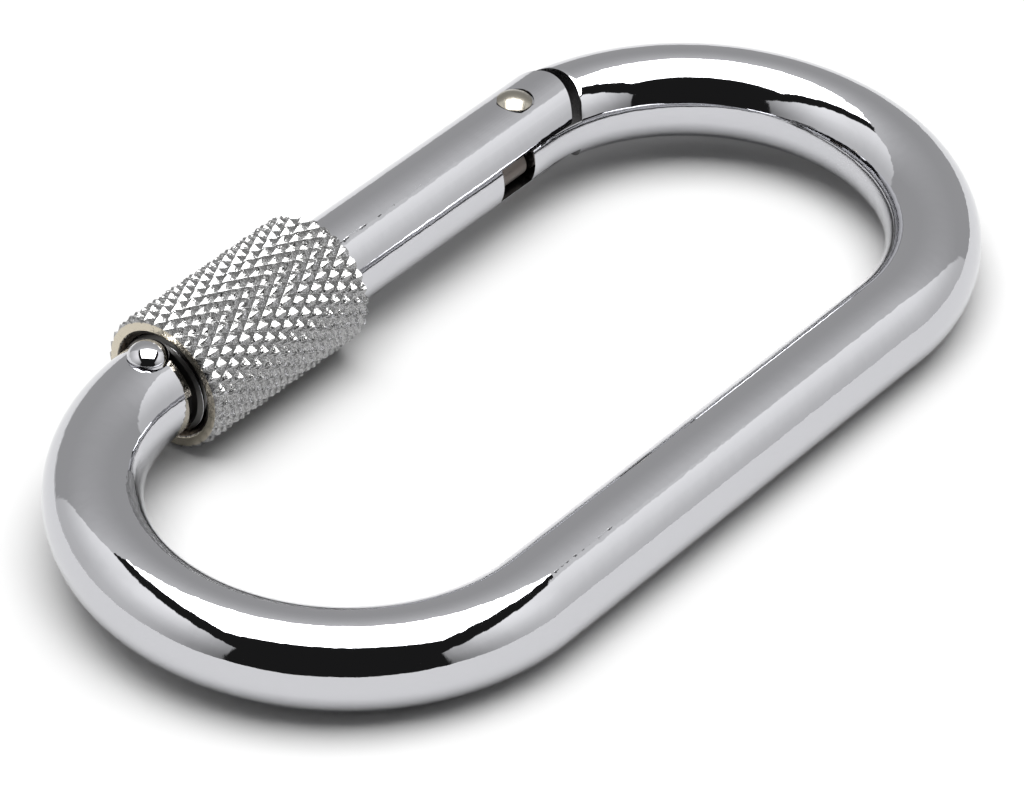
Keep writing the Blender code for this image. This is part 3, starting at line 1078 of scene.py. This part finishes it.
class BuildStage(bpy.types.Operator):
    """Lay the pale floor, set up the light tent and place the camera"""

    bl_idname = "carabiner.stage"
    bl_label = "Stage"

    def execute(self, context):
        stage = context.scene.carabiner_stage
        light_tent(stage)
        lay_floor(stage)
        set_camera()
        context.scene.view_settings.view_transform = "Standard"
        context.scene.view_settings.look = "None"
        return {"FINISHED"}


class BuildFrame(bpy.types.Operator):
    """Bend the bar and cut its tongue, hollow shoulder, nose notch and stud seat"""

    bl_idname = "carabiner.frame"
    bl_label = "Bar frame"

    def execute(self, context):
        build_frame(context.scene.carabiner_sizes)
        return {"FINISHED"}


class BuildGate(bpy.types.Operator):
    """Turn the gate with its thread, slot, rounded ears and tenon"""

    bl_idname = "carabiner.gate"
    bl_label = "Gate"

    def execute(self, context):
        build_gate(context.scene.carabiner_sizes)
        return {"FINISHED"}


class BuildSleeve(bpy.types.Operator):
    """Knurl and bore the locking sleeve"""

    bl_idname = "carabiner.sleeve"
    bl_label = "Locking sleeve"

    def execute(self, context):
        build_sleeve(context.scene.carabiner_sizes, context.scene.carabiner_finishes)
        return {"FINISHED"}


class BuildPins(bpy.types.Operator):
    """Make the hinge rivet and the stop stud"""

    bl_idname = "carabiner.pins"
    bl_label = "Rivet and stud"

    def execute(self, context):
        build_stud()
        build_rivet(context.scene.carabiner_finishes)
        return {"FINISHED"}


class BuildSpringWork(bpy.types.Operator):
    """Make the plunger and the coil spring behind it"""

    bl_idname = "carabiner.spring_work"
    bl_label = "Plunger and spring"

    def execute(self, context):
        build_plunger(context.scene.carabiner_finishes)
        build_spring(context.scene.carabiner_sizes, context.scene.carabiner_finishes)
        return {"FINISHED"}


class CarabinerPanel(bpy.types.Panel):
    """Lists the carabiner's pieces, sizes and finishes"""

    bl_idname = "VIEW3D_PT_carabiner"
    bl_label = "Carabiner"
    bl_space_type = "VIEW_3D"
    bl_region_type = "UI"
    bl_category = "Carabiner"

    def draw(self, context):
        column = self.layout.column()
        for operator in OPERATORS:
            column.operator(operator.bl_idname)
        for settings in SETTINGS:
            group_of = getattr(context.scene, settings)
            for name in SETTINGS[settings].__annotations__:
                column.prop(group_of, name)


OPERATORS = (BuildStage, BuildFrame, BuildGate, BuildSleeve, BuildPins, BuildSpringWork)
SETTINGS = {
    "carabiner_sizes": CarabinerSizes,
    "carabiner_finishes": CarabinerFinishes,
    "carabiner_stage": CarabinerStage,
}


def register():
    for kind in (*SETTINGS.values(), *OPERATORS, CarabinerPanel):
        bpy.utils.register_class(kind)
    for name, kind in SETTINGS.items():
        setattr(bpy.types.Scene, name, PointerProperty(type=kind))


def unregister():
    for name in SETTINGS:
        delattr(bpy.types.Scene, name)
    for kind in reversed((*SETTINGS.values(), *OPERATORS, CarabinerPanel)):
        bpy.utils.unregister_class(kind)


def main():
    register()
    bpy.ops.carabiner.stage()
    bpy.ops.carabiner.frame()
    bpy.ops.carabiner.gate()
    bpy.ops.carabiner.sleeve()
    bpy.ops.carabiner.pins()
    bpy.ops.carabiner.spring_work()
    bpy.context.view_layer.update()


if __name__ == "__main__":
    main()
